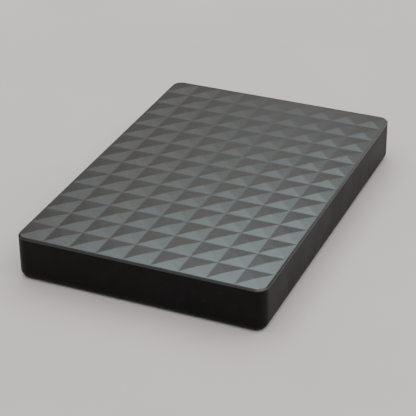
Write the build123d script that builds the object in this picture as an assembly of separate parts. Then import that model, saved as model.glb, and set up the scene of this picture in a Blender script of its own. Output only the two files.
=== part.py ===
from build123d import *
import os
from math import acos, asin, cos, degrees, radians, sin

# Portable external hard drive: a snapped plastic case round a 2.5 inch disk drive on rubber corners.
# Millimetres. Origin at the centre of the underside, X across, Y along to the port end, Z up.

# Case shell and faceted lid
case_wall = 1.5
case_floor = 1.5
corner_radius = 3.5
floor_edge_radius = 2.5
rebate_width = 0.75
rebate_gap = 0.1
seam_gap = 0.12
lid_thickness = 1.65
lid_bevel = 0.45
lid_rim = 0.3
facet_columns = 9
facet_rows = 13
facet_height = 0.25
facet_border = 0.2

# Snap hooks of the lid
hook_width = 8.0
hook_thickness = 1.0
hook_depth = 3.0
hook_nose = 0.55
hook_nose_height = 1.2
hook_nose_flat = 0.4
hook_gap = 0.15
hook_spacing = 22.0
front_hook_offset = 14.0
rear_hook_offset = 31.0

# Rubber corner mounts round the disk drive
bumper_side = 3.575
bumper_end = 3.0
bumper_foot = 0.9
bumper_top = 1.0
bumper_flange = 3.0
bumper_side_leg = 16.0
bumper_end_leg = 8.0
bumper_gap = 0.1
peg_length = 2.0
peg_gap = 0.05

# Interface board in the bay behind the disk drive
bridge_bay = 10.75
board_thickness = 1.0
board_side_gap = 0.925
board_right = 20.0
board_gap = 0.4
board_post_radius = 1.6
board_pin_radius = 0.7
board_pin_gap = 0.1
board_pin_inset = 3.0

# Components on the interface board
bridge_chip_size = (7.0, 7.0, 0.9)
flash_size = (5.0, 3.9, 1.5)
crystal_size = (3.2, 2.5, 0.8)
inductor_size = (3.0, 3.0, 1.6)
capacitor_size = (0.5, 1.0, 0.5)
capacitor_columns = 2
capacitor_rows = 3
capacitor_pitch = 1.2
bridge_chip_gap = 0.6
bridge_chip_stand_off = 4.0

# Port and activity light in the end wall
usb_sheet = 0.3
usb_depth = 6.6
usb_setback = 0.5
usb_left = 6.1
usb_right = 6.1
usb_cavity_height = 2.3
usb_corner = 0.5
usb_notch_place = 1.3
usb_notch_width = 0.8
usb_notch_height = 0.55
usb_block_depth = 1.6
usb_tongue_height = 1.4
usb_tongue_thickness = 0.6
usb_tongue_margin = 1.2
usb_tongue_setback = 0.8
usb_pin_count = 5
usb_pin_setback = 1.6
usb_fit = 0.05
window_gap = 0.3
window_bevel = 0.4
contact_thickness = 0.08
pipe_radius = 1.0
pipe_collar = 0.25
pipe_gap = 0.1
light_place = 13.5
led_size = (1.6, 1.1, 2.0)

# Disk drive, plan
platter_radius = 32.5
platter_bore_radius = 10.0
shroud_gap = 0.7
casting_wall = 1.725
pivot_stand_off = 9.7
pivot_bearing = 110.0
arm_shortfall = 4.2
park_offset = 2.5
inner_track_radius = 14.5
yoke_gap = 0.4
yoke_side_gap = 0.15
bay_wall = 2.0
bay_overlap = 12.0
bay_end_wall = 1.2
connector_depth = 5.87
drive_corner_radius = 2.0

# Disk drive, layers from the underside up
pcb_recess = 0.2
pcb_thickness = 0.8
component_room = 1.0
bay_floor = 0.9
deck_step = 0.5
disk_clearance = 1.2
platter_thickness = 0.65
spacer_height = 1.7
clamp_thickness = 0.65
clamp_screw_head = 0.4
cover_gap = 0.25
cover_thickness = 0.6

# Casting and cover
side_hole_radius = 1.25
side_hole_depth = 2.6
side_hole_height = 3.0
side_hole_front = 9.75
side_hole_rear = 14.0
side_boss_wall = 0.8
side_boss_half = 2.2
screw_inset = 3.7
screw_boss_radius = 2.6
screw_shank_radius = 0.8
screw_shank_length = 3.0
screw_head_radius = 1.8
screw_head_height = 0.33
screw_gap = 0.02
screw_recess = 0.35
screw_recess_gap = 0.2
left_screw_offset = 9.5
right_screw_offset = 3.0
gasket_inset = 0.35
gasket_width = 0.7
gasket_depth = 0.3
cover_margin = 0.3
cover_dish_radius = 20.0
cover_dish_depth = 0.2

# Circuit board under the casting
pcb_margin = 7.925
pcb_gap = 0.3
pcb_horn = 2.0
pocket_rim = 4.4
pcb_screw_inset = 4.0
pcb_boss_radius = 2.2
pcb_screw_skin = 0.3
chip_height = 0.8
controller_size = (12.0, 12.0)
driver_size = (8.0, 8.0)
memory_size = (8.0, 11.0)
chip_spacing = 4.0
chip_row_offset = 6.0
controller_offset = -2.0

# Connector between the disk drive and the interface board
sata_place = -4.8
sata_half = 20.5
sata_height = 3.5
sata_body_half_height = 2.2
sata_base_depth = 1.7
sata_tongue_length = 4.0
sata_tongue_thickness = 1.2
sata_tongue_half = 16.7
sata_signal_width = 10.4
sata_power_width = 20.6
sata_key = 1.2
sata_slot_gap = 0.2
sata_fit = 0.1
sata_board_bite = 2.0
sata_signal_count = 7
sata_power_count = 15
sata_pin_pitch = 1.27
sata_pin_width = 0.7

# Spindle motor
hub_fit = 0.03
hub_flange_radius = 12.5
hub_skirt_wall = 1.55
hub_top_thickness = 1.9
hub_flange_thickness = 1.0
motor_plate_recess = 0.3
motor_plate = 0.7
motor_lift = 0.5
motor_gap = 0.6
motor_wall = 1.5
sleeve_foot = 0.5
sleeve_end_gap = 0.3
shaft_radius = 1.5
running_gap = 0.05
press_gap = 0.01
rotor_magnet_wall = 1.0
air_gap = 0.3
stator_teeth = 9
stator_ring_wall = 1.5
stator_tooth_width = 1.2
stator_tip_depth = 0.7
stator_tip_half = 14.0
stator_thickness = 1.0
coil_overhang = 0.35
winding_length = 2.73
spacer_wall = 1.8
clamp_wall = 2.0
clamp_rim_height = 0.45
clamp_screw_radius = 1.0
clamp_head_radius = 2.4
clamp_screw_length = 1.6

# Head stack
arm_hub_radius = 6.0
arm_tip_place = 27.0
arm_tip_radius = 2.6
outer_arm_thickness = 0.6
head_gap = 0.45
beam_thickness = 0.12
beam_start = 25.5
beam_root_half = 2.2
beam_tip_half = 0.7
beam_past_head = 0.8
tab_length = 2.7
tab_half = 0.25
slider_size = (1.25, 1.0, 0.23)
relief_place = 12.0
relief_end = 20.0
relief_radius = 1.8
relief_end_radius = 1.1
arm_sweep_margin = 11.0
pivot_shaft_radius = 2.0
pivot_flange_radius = 3.0
pivot_flange_height = 0.45
pivot_spigot_radius = 1.2
bearing_wall = 1.85
bearing_height = 1.5
sleeve_wall = 0.7
stack_end_gap = 0.1

# Voice coil and its magnet frame
tail_radius = 7.7
coil_inner_radius = 8.5
coil_outer_radius = 16.5
coil_half = 22.0
coil_leg = 2.6
coil_corner = 0.8
frame_wall = 0.8
frame_gap = 0.05
magnet_gap = 0.4
yoke_thickness = 0.8
yoke_inner_radius = 6.8
yoke_margin = 1.0
yoke_clearance = 0.2
magnet_thickness = 0.8
post_radius = 1.2
post_lobe = 2.4
stop_wall = 0.4
stop_reach = 13.0
stop_gap = 0.3

# Parking ramp, filters and flexible circuit
ramp_overlap = 1.0
ramp_tab_gap = 0.06
ramp_notch_gap = 0.15
ramp_rim_gap = 0.4
ramp_beam_gap = 0.5
ramp_post_wall = 3.0
ramp_end_angle = 4.5
ramp_foot_radius = 2.2
ramp_foot_height = 1.2
ramp_screw_radius = 0.8
ramp_head_radius = 1.4
flex_thickness = 0.15
flex_height = 3.0
flex_gap = 0.3
flex_loop_radius = 5.0
flex_leave_angle = 72.0
flex_wrap_angle = 22.0
flex_run = 1.5
bracket_size = (10.0, 4.0, 4.5)
bracket_plug = (8.0, 2.6)
bracket_plug_gap = 0.3
filter_size = (3.0, 8.0, 3.5)
breather_size = (7.0, 8.0, 3.5)
filter_gap = 1.0

# Heights worked out from the layers
z_drive = case_floor + bumper_foot
z_pcb = z_drive + pcb_recess
z_pcb_top = z_pcb + pcb_thickness
z_room = z_pcb_top + component_room
z_bay = z_room + bay_floor
z_deck = z_bay + deck_step
z_disk1 = z_deck + disk_clearance
z_disk1_top = z_disk1 + platter_thickness
z_disk2 = z_disk1_top + spacer_height
z_clamp = z_disk2 + platter_thickness
z_screw = z_clamp + clamp_thickness
z_cover = z_screw + clamp_screw_head + cover_gap
z_drive_top = z_cover + cover_thickness
z_lid = z_drive_top + bumper_top
z_valley = z_lid + lid_thickness
z_apex = z_valley + facet_height
z_bevel = z_valley - lid_bevel
z_seam = z_bevel - lid_rim
z_wall_top = z_seam - seam_gap
z_sata = z_drive + sata_height
z_board = z_sata - board_thickness / 2
z_board_top = z_board + board_thickness
z_motor = z_drive + motor_plate_recess + motor_plate
z_rotor = z_motor + motor_lift
z_stator = z_rotor + coil_overhang
z_flange = z_disk1 - hub_flange_thickness
z_hub_void = z_clamp - hub_top_thickness
z_stack = z_disk1 - head_gap - outer_arm_thickness
z_stack_top = z_clamp + head_gap + outer_arm_thickness
z_upper_yoke_top = z_cover - yoke_clearance

# Places worked out from the mechanism, which sets the drive's size and so the case's
well_radius = platter_radius + shroud_gap
yoke_radius = coil_outer_radius + frame_wall + yoke_margin
pivot_distance = platter_radius + pivot_stand_off
pivot_aside = -pivot_distance * cos(radians(pivot_bearing))
pivot_ahead = pivot_distance * sin(radians(pivot_bearing))
actuator_half = pivot_aside + yoke_radius + yoke_side_gap
drive_half = max(well_radius + casting_wall, actuator_half + bay_wall)
arm_length = pivot_distance - arm_shortfall
bay_length = drive_half + pivot_ahead + yoke_radius + yoke_gap
drive_length = bay_length + bay_end_wall + connector_depth
inner_half = drive_half + bumper_side
case_width = 2 * (inner_half + case_wall)
case_length = 2 * case_wall + bumper_end + drive_length + bridge_bay
y_back = case_length / 2
y_inner_back = y_back - case_wall
y_inner_front = case_wall - y_back
drive_front = y_inner_front + bumper_end
drive_back = drive_front + drive_length
drive_middle = (drive_front + drive_back) / 2
board_left = drive_half - bumper_end_leg - board_side_gap
bay_half = drive_half - bay_wall
pcb_half = drive_half - pcb_margin
side_boss_face = drive_half - side_hole_depth - side_boss_wall
bay_back = drive_front + bay_length
notch_front = drive_back - connector_depth
rotor_radius = hub_flange_radius - hub_skirt_wall
stator_radius = rotor_radius - rotor_magnet_wall - air_gap
winding_far = stator_radius - stator_tip_depth - coil_overhang
winding_near = winding_far - winding_length
stator_ring = winding_near - coil_overhang - press_gap
sleeve_radius = stator_ring - stator_ring_wall - press_gap
spindle = (0.0, drive_front + drive_half)
pivot = (-pivot_aside, spindle[1] + pivot_ahead)


def span(x0, x1, y0, y1, z0, z1):
    """A block between two opposite corners."""
    middle = Pos((x0 + x1) / 2, (y0 + y1) / 2, (z0 + z1) / 2)
    return middle * Box(abs(x1 - x0), abs(y1 - y0), abs(z1 - z0))


def span_face(x0, x1, y0, y1):
    """A rectangle between two corners of the plan."""
    return Pos((x0 + x1) / 2, (y0 + y1) / 2) * Rectangle(x1 - x0, y1 - y0)


def disc(place, radius, z0, z1):
    """An upright cylinder between two heights."""
    return Pos(place[0], place[1], (z0 + z1) / 2) * Cylinder(radius, z1 - z0)


def ring(place, inner, outer, z0, z1):
    """An upright tube between two heights."""
    return disc(place, outer, z0, z1) - disc(place, inner, z0, z1)


def slab(sketch, z0, z1):
    """A plan outline raised between two heights."""
    return extrude(Pos(0, 0, z0) * sketch, z1 - z0, dir=(0, 0, 1))


def along_y(sketch, y0, y1):
    """An outline in X and Z carried along Y."""
    return extrude(Plane.XZ.offset(-y0) * sketch, y1 - y0, dir=(0, 1, 0))


def along_x(sketch, x0, x1):
    """An outline in Y and Z carried along X."""
    return extrude(Plane.YZ.offset(x0) * sketch, x1 - x0, dir=(1, 0, 0))


def turned(place, section):
    """A round piece from the corners of its half section, as radius and height."""
    face = make_face(Polyline(*section, close=True))
    return Pos(place[0], place[1], 0) * revolve(Plane.XZ * face, Axis.Z)


def sector(inner, outer, middle, half):
    """Part of a flat ring about the origin, to each side of a direction in degrees."""
    far = CenterArc((0, 0), outer, middle - half, 2 * half)
    near = CenterArc((0, 0), inner, middle - half, 2 * half)
    return make_face([far, near, Line(far @ 0, near @ 0), Line(far @ 1, near @ 1)])


def taper_hull(x0, radius0, x1, radius1):
    """A flat link whose sides run tangent to two circles on the X axis."""
    return make_hull((Pos(x0, 0) * Circle(radius0) + Pos(x1, 0) * Circle(radius1)).edges())


def reach_angle(reach, spindle_distance):
    """Direction from the pivot to a point at that reach and that far from the spindle."""
    cosine = pivot_distance**2 + reach**2 - spindle_distance**2
    return pivot_bearing + 180 + degrees(acos(cosine / (2 * pivot_distance * reach)))


def from_pivot(reach, angle):
    """A point at a reach and a direction from the pivot."""
    return (pivot[0] + reach * cos(radians(angle)), pivot[1] + reach * sin(radians(angle)))


def group(solids):
    """Like pieces that share one node."""
    return Compound(children=list(solids))


# The arm's directions and the frame that carries the head stack, parked on the ramp
arm_park = reach_angle(arm_length, platter_radius + park_offset)
arm_inner = reach_angle(arm_length, inner_track_radius)
arm_swing = arm_park - arm_inner
arm_middle = (arm_park + arm_inner) / 2
at_pivot = Pos(pivot[0], pivot[1], 0)
at_arm = at_pivot * Rot(0, 0, arm_park)
tab_reach = arm_length + beam_past_head + tab_length

# Places shared by holes and fasteners
screw_x = drive_half - screw_inset
cover_screw_places = [
    (-screw_x, drive_front + screw_inset),
    (screw_x, drive_front + screw_inset),
    (-screw_x, pivot[1] - left_screw_offset),
    (screw_x, pivot[1] - right_screw_offset),
    (-screw_x, drive_back - screw_inset),
    (screw_x, drive_back - screw_inset),
]
pcb_screw_places = [
    (side * (pcb_half - pcb_screw_inset), y)
    for side in (-1, 1)
    for y in (spindle[1] + pcb_horn + pcb_screw_inset, notch_front - pcb_screw_inset)
]
side_hole_places = [
    (side, y)
    for side in (-1, 1)
    for y in (drive_front + side_hole_front, drive_back - side_hole_rear)
]
board_pin_places = [
    (board_pin_inset - board_left, y_inner_back - board_pin_inset),
    (board_right - board_pin_inset, y_inner_back - board_pin_inset),
]
hook_places = (
    [(-inner_half, drive_middle + step * hook_spacing, 180) for step in (-1, 0, 1)]
    + [(inner_half, drive_middle + step * hook_spacing, 0) for step in (-1, 0, 1)]
    + [(side * front_hook_offset, y_inner_front, 270) for side in (-1, 1)]
    + [(side * rear_hook_offset, y_inner_back, 90) for side in (-1, 1)]
)
flex_loop_centre = from_pivot(arm_hub_radius + flex_gap + flex_loop_radius, flex_leave_angle)
bracket_place = (
    flex_loop_centre[0] + flex_loop_radius,
    flex_loop_centre[1] + flex_run + bracket_size[1] / 2,
)


# Enclosure
def plan(inset):
    """The case's outline, drawn in by an inset."""
    return RectangleRounded(case_width - 2 * inset, case_length - 2 * inset, corner_radius - inset)


def zigzag(half, count):
    """Section across the lid: a flat border, then one ridge for each row of facets."""
    start = half - lid_bevel - facet_border
    pitch = 2 * start / count
    bottom = z_lid - hook_depth
    points = [(-half, bottom), (-half, z_valley), (-start, z_valley)]
    for step in range(count):
        points.append((-start + (step + 0.5) * pitch, z_apex))
        points.append((-start + (step + 1) * pitch, z_valley))
    points += [(half, z_valley), (half, bottom)]
    return make_face(Polyline(*points, close=True))


def hook():
    """Section of a snap hook, with the wall's inner face at X zero and the lid's underside at Z zero."""
    outer = -hook_gap
    inner = outer - hook_thickness
    catch = hook_nose_height - hook_depth
    section = Polyline(
        (inner, 0),
        (outer, 0),
        (outer, catch),
        (outer + hook_nose, catch),
        (outer + hook_nose, catch - hook_nose_flat),
        (outer, -hook_depth),
        (inner, -hook_depth),
        close=True,
    )
    return along_y(make_face(section), -hook_width / 2, hook_width / 2)


def hook_pocket():
    """Room in the wall for a hook's nose."""
    half = hook_width / 2 + hook_gap
    catch = hook_nose_height - hook_depth + seam_gap
    return span(-hook_gap, hook_nose, -half, half, -hook_depth - hook_gap, catch)


def make_top_cover():
    bevel_height = z_apex - z_bevel
    outline = slab(plan(0), z_seam, z_bevel)
    outline += extrude(Pos(0, 0, z_bevel) * plan(0), bevel_height, taper=45)
    outline += slab(plan(rebate_width + rebate_gap), z_lid, z_seam)
    outline += [Pos(x, y, z_lid) * Rot(0, 0, turn) * hook() for x, y, turn in hook_places]
    ridges = along_y(zigzag(case_width / 2, facet_columns), -y_back, y_back)
    ridges &= along_x(zigzag(y_back, facet_rows), -case_width / 2, case_width / 2)
    return outline & ridges


def usb_outline(grow):
    """Mouth of the socket in X and Z: two bays with a notch between, grown by a wall."""
    notch_left = usb_notch_place - usb_notch_width / 2
    notch_right = usb_notch_place + usb_notch_width / 2
    low = z_board_top + usb_sheet
    high = low + usb_cavity_height
    mouth = Polyline(
        (-usb_left + usb_corner, low),
        (notch_left - usb_notch_height, low),
        (notch_left, low + usb_notch_height),
        (notch_right, low + usb_notch_height),
        (notch_right + usb_notch_height, low),
        (usb_right - usb_corner, low),
        (usb_right, low + usb_corner),
        (usb_right, high),
        (-usb_left, high),
        (-usb_left, low + usb_corner),
        close=True,
    )
    face = make_face(mouth)
    return offset(face, grow) if grow else face


usb_front = y_back - usb_setback - usb_depth
usb_mouth = y_back - usb_setback
pipe_height = z_board_top + pipe_radius + pipe_collar + pipe_gap


def pipe(radius, y0, y1):
    """A round rod along Y on the activity light's axis."""
    return along_y(Pos(light_place, pipe_height) * Circle(radius), y0, y1)


def make_base_case():
    case = extrude(plan(0), z_wall_top)
    case = fillet(case.faces().sort_by(Axis.Z)[0].edges(), floor_edge_radius)
    case -= slab(plan(case_wall), case_floor, z_lid)
    case -= slab(plan(rebate_width), z_lid, z_wall_top)
    case -= [Pos(x, y, z_lid) * Rot(0, 0, turn) * hook_pocket() for x, y, turn in hook_places]
    window_low = z_board_top - window_gap
    window_high = z_board_top + 2 * usb_sheet + usb_cavity_height + window_gap
    window_half = max(usb_left, usb_right) + usb_sheet + window_gap
    window_width = 2 * (window_half + window_bevel)
    window_height = window_high - window_low + 2 * window_bevel
    window = RectangleRounded(window_width, window_height, usb_corner + window_bevel)
    window = Pos(0, (window_low + window_high) / 2) * window
    case -= along_y(usb_outline(usb_sheet + window_gap), y_inner_back, y_back)
    case -= extrude(Plane.XZ.offset(-y_back) * window, window_bevel, taper=45)
    case -= pipe(pipe_radius + pipe_gap, y_inner_back, y_back)
    for place in board_pin_places:
        case += disc(place, board_post_radius, case_floor, z_board)
        case += disc(place, board_pin_radius, z_board, z_board_top)
    return case


def make_bumper(side, end):
    """One rubber corner: side is left or right, end is front or rear, as minus or plus one."""
    if end < 0:
        outer, face = y_inner_front, drive_front
    else:
        outer, face = drive_back + bumper_end, drive_back
    wall = side * inner_half
    corner = span(
        side * (drive_half - bumper_flange), wall, outer, face - end * bumper_side_leg, case_floor, z_lid
    )
    corner += span(
        side * (drive_half - bumper_end_leg), wall, outer, face - end * bumper_flange, case_floor, z_lid
    )
    corner &= slab(plan(case_wall + bumper_gap), case_floor, z_lid)
    corner -= span(-drive_half, drive_half, drive_front, drive_back, z_drive, z_drive_top)
    hole_y = drive_front + side_hole_front if end < 0 else drive_back - side_hole_rear
    peg = Pos(hole_y, z_drive + side_hole_height) * Circle(side_hole_radius - peg_gap)
    tip, root = side * (drive_half - peg_length), side * (drive_half + peg_gap)
    return corner + along_x(peg, min(tip, root), max(tip, root))


def make_light_pipe():
    rod = pipe(pipe_radius, y_inner_back - board_gap, y_back)
    return rod + pipe(pipe_radius + pipe_collar, y_inner_back - board_gap, y_inner_back)


# Interface board
board_front = drive_back + board_gap
board_back = y_inner_back - board_gap


def make_bridge_board():
    board = span(-board_left, board_right, board_front, board_back, z_board, z_board_top)
    for place in board_pin_places:
        board -= disc(place, board_pin_radius + board_pin_gap, z_board, z_board_top)
    return board


def make_usb_shell():
    return along_y(usb_outline(usb_sheet) - usb_outline(0), usb_front, usb_mouth)


usb_tongue_z = z_board_top + usb_sheet + usb_tongue_height
usb_tongues = [
    (-usb_left + usb_tongue_margin, usb_notch_place - usb_notch_width - usb_tongue_margin),
    (usb_notch_place + usb_notch_width / 2 + usb_tongue_margin, usb_right - usb_tongue_margin),
]


def make_usb_insulator():
    body = along_y(usb_outline(-usb_fit), usb_front, usb_front + usb_block_depth)
    half = usb_tongue_thickness / 2
    for left, right in usb_tongues:
        body += span(
            left, right, usb_front, usb_mouth - usb_tongue_setback, usb_tongue_z - half, usb_tongue_z + half
        )
    return body


def make_usb_contacts():
    """Five strips under each tongue."""
    top = usb_tongue_z - usb_tongue_thickness / 2
    strips = []
    for left, right in usb_tongues:
        pitch = (right - left) / usb_pin_count
        for pin in range(usb_pin_count):
            middle = left + (pin + 0.5) * pitch
            strips.append(
                span(
                    middle - pitch / 4,
                    middle + pitch / 4,
                    usb_front + usb_block_depth,
                    usb_mouth - usb_pin_setback,
                    top - contact_thickness,
                    top,
                )
            )
    return group(strips)


signal_span = (sata_place - sata_tongue_half, sata_place - sata_tongue_half + sata_signal_width)
power_span = (sata_place + sata_tongue_half - sata_power_width, sata_place + sata_tongue_half)
tongue_front = notch_front + sata_base_depth
tongue_back = tongue_front + sata_tongue_length


def sata_tongues(grow, y0, y1):
    """The two keyed tongues of the connector, or the slots that take them."""
    half = sata_tongue_thickness / 2 + grow
    blades = None
    for left, right in (signal_span, power_span):
        blade = span(left - grow, right + grow, y0, y1, z_sata - half, z_sata + half)
        blade += span(
            right - sata_key - grow, right + grow, y0, y1, z_sata - half - sata_key, z_sata - half
        )
        blades = blade if blades is None else blades + blade
    return blades


def make_sata_receptacle():
    front = tongue_front + sata_slot_gap
    body = span(
        sata_place - sata_half + sata_fit,
        sata_place + sata_half - sata_fit,
        front,
        board_front + sata_board_bite,
        z_sata - sata_body_half_height,
        z_sata + sata_body_half_height,
    )
    body -= sata_tongues(sata_slot_gap, front, tongue_back + sata_slot_gap)
    return body - span(
        -board_left, board_right, board_front, board_front + sata_board_bite, z_board, z_board_top
    )


chip_front = board_front + sata_board_bite + board_gap


def board_chip(x, y, size):
    """A block component soldered on the interface board's top."""
    half_x, half_y = size[0] / 2, size[1] / 2
    return span(x - half_x, x + half_x, y - half_y, y + half_y, z_board_top, z_board_top + size[2])


bridge_chip_place = (
    -usb_left - bridge_chip_stand_off - bridge_chip_size[0] / 2,
    chip_front + bridge_chip_size[1] / 2,
)
flash_place = (
    usb_right + usb_sheet + bridge_chip_gap + flash_size[0] / 2,
    chip_front + flash_size[1] / 2,
)
crystal_place = (
    bridge_chip_place[0] - bridge_chip_size[0] / 2 - bridge_chip_gap - crystal_size[0] / 2,
    chip_front + crystal_size[1] / 2,
)
inductor_place = (
    flash_place[0] + flash_size[0] / 2 + bridge_chip_gap + inductor_size[0] / 2,
    chip_front + inductor_size[1] / 2,
)
led_place = (light_place, board_back - led_size[1] / 2)


def make_bridge_capacitors():
    """Rows of small capacitors between the controller and the socket."""
    x = bridge_chip_place[0] + bridge_chip_size[0] / 2 + bridge_chip_gap + capacitor_size[0] / 2
    y = chip_front + capacitor_size[1] / 2
    return group(
        board_chip(x + column * capacitor_pitch, y + row * capacitor_pitch, capacitor_size)
        for column in range(capacitor_columns)
        for row in range(capacitor_rows)
    )


# Disk drive, fixed pieces
def cavity_outline():
    """Plan of the sealed space: the disk well and the actuator bay, less the screw bosses in it."""
    bay = span_face(-bay_half, bay_half, spindle[1] + bay_overlap, bay_back)
    room = Pos(*spindle) * Circle(well_radius) + bay
    for place in cover_screw_places[2:4]:
        room -= Pos(*place) * Circle(screw_boss_radius)
    return room


def gasket_outline():
    cavity = cavity_outline()
    return offset(cavity, gasket_inset + gasket_width) - offset(cavity, gasket_inset)


def make_drive_base():
    outline = Pos(0, drive_middle) * RectangleRounded(2 * drive_half, drive_length, drive_corner_radius)
    base = slab(outline, z_drive, z_cover)
    base -= slab(cavity_outline(), z_deck, z_cover)
    bay = span_face(-bay_half, bay_half, spindle[1] + bay_overlap, bay_back)
    for place in cover_screw_places[2:4]:
        bay -= Pos(*place) * Circle(screw_boss_radius)
    base -= slab(bay, z_bay, z_deck)
    sweep_half = arm_swing / 2 + arm_sweep_margin
    sweep = sector(arm_hub_radius, tab_reach + ramp_rim_gap, arm_middle, sweep_half)
    base -= at_pivot * slab(sweep, z_bay, z_deck)
    # Underside pocket round the motor's boss, with seats for the circuit board's screws
    motor_well = hub_flange_radius + motor_gap
    pocket = Pos(*spindle) * Circle(drive_half - pocket_rim)
    pocket += span_face(-pcb_half - pcb_gap, pcb_half + pcb_gap, spindle[1], notch_front)
    pocket -= Pos(*spindle) * Circle(motor_well + motor_wall)
    base -= slab(pocket, z_drive, z_room)
    for place in pcb_screw_places:
        base += disc(place, pcb_boss_radius, z_pcb_top, z_room)
        base -= disc(place, screw_shank_radius + screw_gap, z_pcb_top, z_bay - pcb_screw_skin)
    base -= disc(spindle, motor_well + motor_wall, z_drive, z_drive + motor_plate_recess)
    base -= disc(spindle, motor_well, z_motor, z_deck)
    base -= disc(spindle, sleeve_radius + press_gap, z_drive, z_motor)
    # Notch for the connector, and the holes
    base -= span(
        -pcb_half - pcb_gap,
        pcb_half + pcb_gap,
        notch_front,
        drive_back,
        z_drive,
        z_sata + sata_body_half_height + pcb_gap,
    )
    base -= disc(pivot, pivot_spigot_radius + press_gap, z_room, z_bay)
    half_x, half_y = bracket_plug[0] / 2 + bracket_plug_gap, bracket_plug[1] / 2 + bracket_plug_gap
    base -= span(
        bracket_place[0] - half_x,
        bracket_place[0] + half_x,
        bracket_place[1] - half_y,
        bracket_place[1] + half_y,
        z_room,
        z_bay,
    )
    base -= disc(ramp_foot_place, ramp_screw_radius + screw_gap, z_room, z_bay)
    for side, y in side_hole_places:
        deep = drive_half - side_hole_depth
        low, high = z_bay, z_drive + side_hole_height + side_boss_half
        base += span(
            side * side_boss_face, side * drive_half, y - side_boss_half, y + side_boss_half, low, high
        )
        hole = Pos(y, z_drive + side_hole_height) * Circle(side_hole_radius)
        base -= along_x(hole, min(side * deep, side * drive_half), max(side * deep, side * drive_half))
    for place in cover_screw_places:
        base -= disc(place, screw_shank_radius + screw_gap, z_cover - screw_shank_length, z_cover)
    return base - slab(gasket_outline(), z_cover - gasket_depth, z_cover)


def make_drive_cover():
    width = 2 * (drive_half - cover_margin)
    length = drive_length - 2 * cover_margin
    cover = slab(
        Pos(0, drive_middle) * RectangleRounded(width, length, drive_corner_radius), z_cover, z_drive_top
    )
    cover -= disc(spindle, cover_dish_radius, z_drive_top - cover_dish_depth, z_drive_top)
    for place in cover_screw_places:
        cover -= disc(place, screw_shank_radius + screw_gap, z_cover, z_drive_top)
        cover -= disc(place, screw_head_radius + screw_recess_gap, z_drive_top - screw_recess, z_drive_top)
    return cover


def make_cover_gasket():
    return slab(gasket_outline(), z_cover - gasket_depth, z_cover)


def make_cover_screws():
    seat = z_drive_top - screw_recess
    return group(
        disc(place, screw_head_radius, seat, seat + screw_head_height)
        + disc(place, screw_shank_radius, z_cover - screw_shank_length, seat)
        for place in cover_screw_places
    )


def make_drive_pcb():
    board = span_face(-pcb_half, pcb_half, spindle[1] + pcb_horn, drive_back - pcb_gap)
    motor = hub_flange_radius + motor_gap + motor_wall + pcb_gap
    board -= Pos(*spindle) * Circle(motor)
    for place in pcb_screw_places:
        board -= Pos(*place) * Circle(screw_shank_radius + screw_gap)
    return slab(board, z_pcb, z_pcb_top)


def make_pcb_screws():
    """Pan heads flush in the board's recess, shanks up into the casting."""
    return group(
        disc(place, screw_head_radius, z_pcb - pcb_recess, z_pcb)
        + disc(place, screw_shank_radius, z_pcb, z_bay - pcb_screw_skin)
        for place in pcb_screw_places
    )


def pcb_chip(x, size):
    """A chip in the row on the inner face of the disk drive's board, below the casting."""
    half_x, half_y = size[0] / 2, size[1] / 2
    y = pivot[1] - chip_row_offset
    return span(x - half_x, x + half_x, y - half_y, y + half_y, z_pcb_top, z_pcb_top + chip_height)


driver_offset = controller_offset - controller_size[0] / 2 - chip_spacing - driver_size[0] / 2
memory_offset = controller_offset + controller_size[0] / 2 + chip_spacing + memory_size[0] / 2


def make_sata_plug():
    left, right = sata_place - sata_half, sata_place + sata_half
    body = span(left, right, notch_front, tongue_front, z_pcb_top, z_sata + sata_body_half_height)
    return body + sata_tongues(0, notch_front, tongue_back)


def make_sata_contacts():
    """Gold strips on the tongues' upper faces."""
    top = z_sata + sata_tongue_thickness / 2
    strips = []
    for (left, right), count in ((signal_span, sata_signal_count), (power_span, sata_power_count)):
        first = (left + right - (count - 1) * sata_pin_pitch) / 2
        for pin in range(count):
            middle = first + pin * sata_pin_pitch
            strips.append(
                span(
                    middle - sata_pin_width / 2,
                    middle + sata_pin_width / 2,
                    tongue_front,
                    tongue_back - sata_slot_gap,
                    top,
                    top + contact_thickness,
                )
            )
    return group(strips)


def make_bearing_sleeve():
    bottom = z_drive + motor_plate_recess
    top = z_hub_void - sleeve_end_gap
    sleeve = disc(spindle, sleeve_radius, bottom, top)
    return sleeve - disc(spindle, shaft_radius + running_gap, bottom + sleeve_foot, top)


def make_stator_core():
    core = Circle(stator_ring)
    half = stator_tooth_width / 2
    for tooth in range(stator_teeth):
        turn = Rot(0, 0, tooth * 360 / stator_teeth)
        core += turn * span_face(0, stator_radius - stator_tip_depth / 2, -half, half)
        core += turn * sector(stator_radius - stator_tip_depth, stator_radius, 0, stator_tip_half)
    core -= Circle(sleeve_radius + press_gap)
    return Pos(*spindle, 0) * slab(core, z_stator, z_stator + stator_thickness)


def make_stator_coils():
    """One winding round each tooth of the core."""
    half = stator_tooth_width / 2
    side = half + coil_overhang
    low, high = z_stator - coil_overhang, z_stator + stator_thickness + coil_overhang
    winding = span(winding_near, winding_far, -side, side, low, high)
    winding -= span(winding_near, winding_far, -half, half, z_stator, z_stator + stator_thickness)
    return group(
        Pos(*spindle, 0) * Rot(0, 0, tooth * 360 / stator_teeth) * winding for tooth in range(stator_teeth)
    )


def make_pivot_shaft():
    return turned(
        pivot,
        [
            (0, z_room),
            (pivot_spigot_radius, z_room),
            (pivot_spigot_radius, z_bay),
            (pivot_flange_radius, z_bay),
            (pivot_flange_radius, z_bay + pivot_flange_height),
            (pivot_shaft_radius, z_bay + pivot_flange_height),
            (pivot_shaft_radius, z_cover - stack_end_gap),
            (0, z_cover - stack_end_gap),
        ],
    )


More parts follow.
